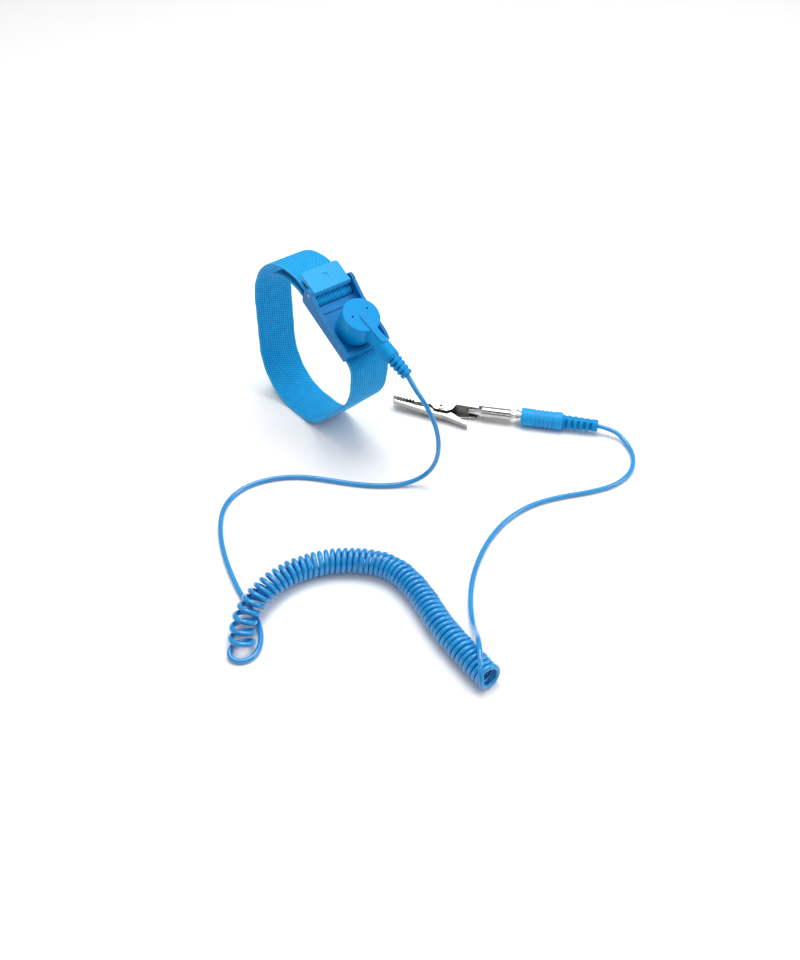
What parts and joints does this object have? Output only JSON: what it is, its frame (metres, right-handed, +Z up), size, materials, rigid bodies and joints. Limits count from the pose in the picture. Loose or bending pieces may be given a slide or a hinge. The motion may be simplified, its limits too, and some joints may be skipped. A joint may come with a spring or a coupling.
{
  "type": "anti-static wrist strap",
  "caption": "Elastic wrist band with a lever buckle, a detachable curly ground cord, and a banana plug carrying a crocodile clip.",
  "frame": {"origin": "on the surface that it stands on, under the middle of the strap with its snap housing, leaving out the cord and what is on it", "axes": "+Z up; the hand goes through the loop along +Y; +X towards the side where the cord leaves the snap housing"},
  "size_m": [0.1975, 0.2023, 0.0773],
  "materials": {
    "band_knit": "ribbed elastic knit",
    "blue_plastic": "satin moulded",
    "pale_plastic": "smooth satin",
    "cord_jacket": "glossy jacket",
    "plug_plastic": "satin",
    "soft_plastic": "soft satin",
    "nickel": "bright plated",
    "clip_nickel": "bright plated sheet",
    "steel": "spring steel",
    "copper": "stranded copper",
    "resistor_coat": "lacquered"
  },
  "bodies": {
    "strap": {"band": "band_knit", "buckle_tray": "blue_plastic", "contact_plate": "nickel", "snap_stud": "nickel", "stud_rivet": "nickel", "lever_pin": "steel"},
    "clamp": {"clamp_lever": "pale_plastic"},
    "cord_set": {"lead_to_snap": "cord_jacket", "coil": "cord_jacket", "lead_to_plug": "cord_jacket", "plug_handle": "plug_plastic", "plug_boot": "soft_plastic", "banana_core": "nickel", "plug_crimp": "steel", "conductor_plug_end": "copper"},
    "snap_housing": {"snap_shell_top": "blue_plastic", "snap_shell_base": "blue_plastic", "snap_boot": "soft_plastic", "snap_socket": "nickel", "socket_spring": "steel", "resistor_body": "resistor_coat", "resistor_caps": "nickel", "resistor_leads": "steel", "crimp_ferrule": "steel", "conductor_snap_end": "copper"},
    "spring_cage": {"banana_spring": "steel"},
    "clip": {"clip_body": "clip_nickel", "clip_rivet": "clip_nickel", "clip_spring": "steel"},
    "jaw": {"clip_lever": "clip_nickel"}
  },
  "joints": [
    {"name": "clamp_open", "type": "hinge", "parent": "strap", "child": "clamp", "pos_m": [-0.00038, 0, 0.07111], "axis": [0, 1, 0], "range_deg": [0, 100]},
    {"name": "snap_pull", "type": "slide", "parent": "strap", "child": "cord_set", "axis": [0.4924, 0, 0.8704], "range_m": [0, 0.008]},
    {"name": "snap_swivel", "type": "hinge", "parent": "cord_set", "child": "snap_housing", "pos_m": [0.01372, 0, 0.05624], "axis": [0.4924, 0, 0.8704], "range_deg": [-27, 13]},
    {"name": "clip_turn", "type": "hinge", "parent": "cord_set", "child": "spring_cage", "pos_m": [0.0473, 0.0617, 0.0041], "axis": [0.7716, 0.6361, 0], "continuous": true},
    {"name": "clip_pull", "type": "slide", "parent": "spring_cage", "child": "clip", "axis": [-0.7716, -0.6361, 0], "range_m": [0, 0.019]},
    {"name": "jaw_open", "type": "hinge", "parent": "clip", "child": "jaw", "pos_m": [0.02433, 0.04036, 0.00367], "axis": [0.1431, -0.1736, 0.9744], "range_deg": [0, 24], "stiffness_Nm_per_rad": 0.03, "springref_deg": -20.05}
  ]
}
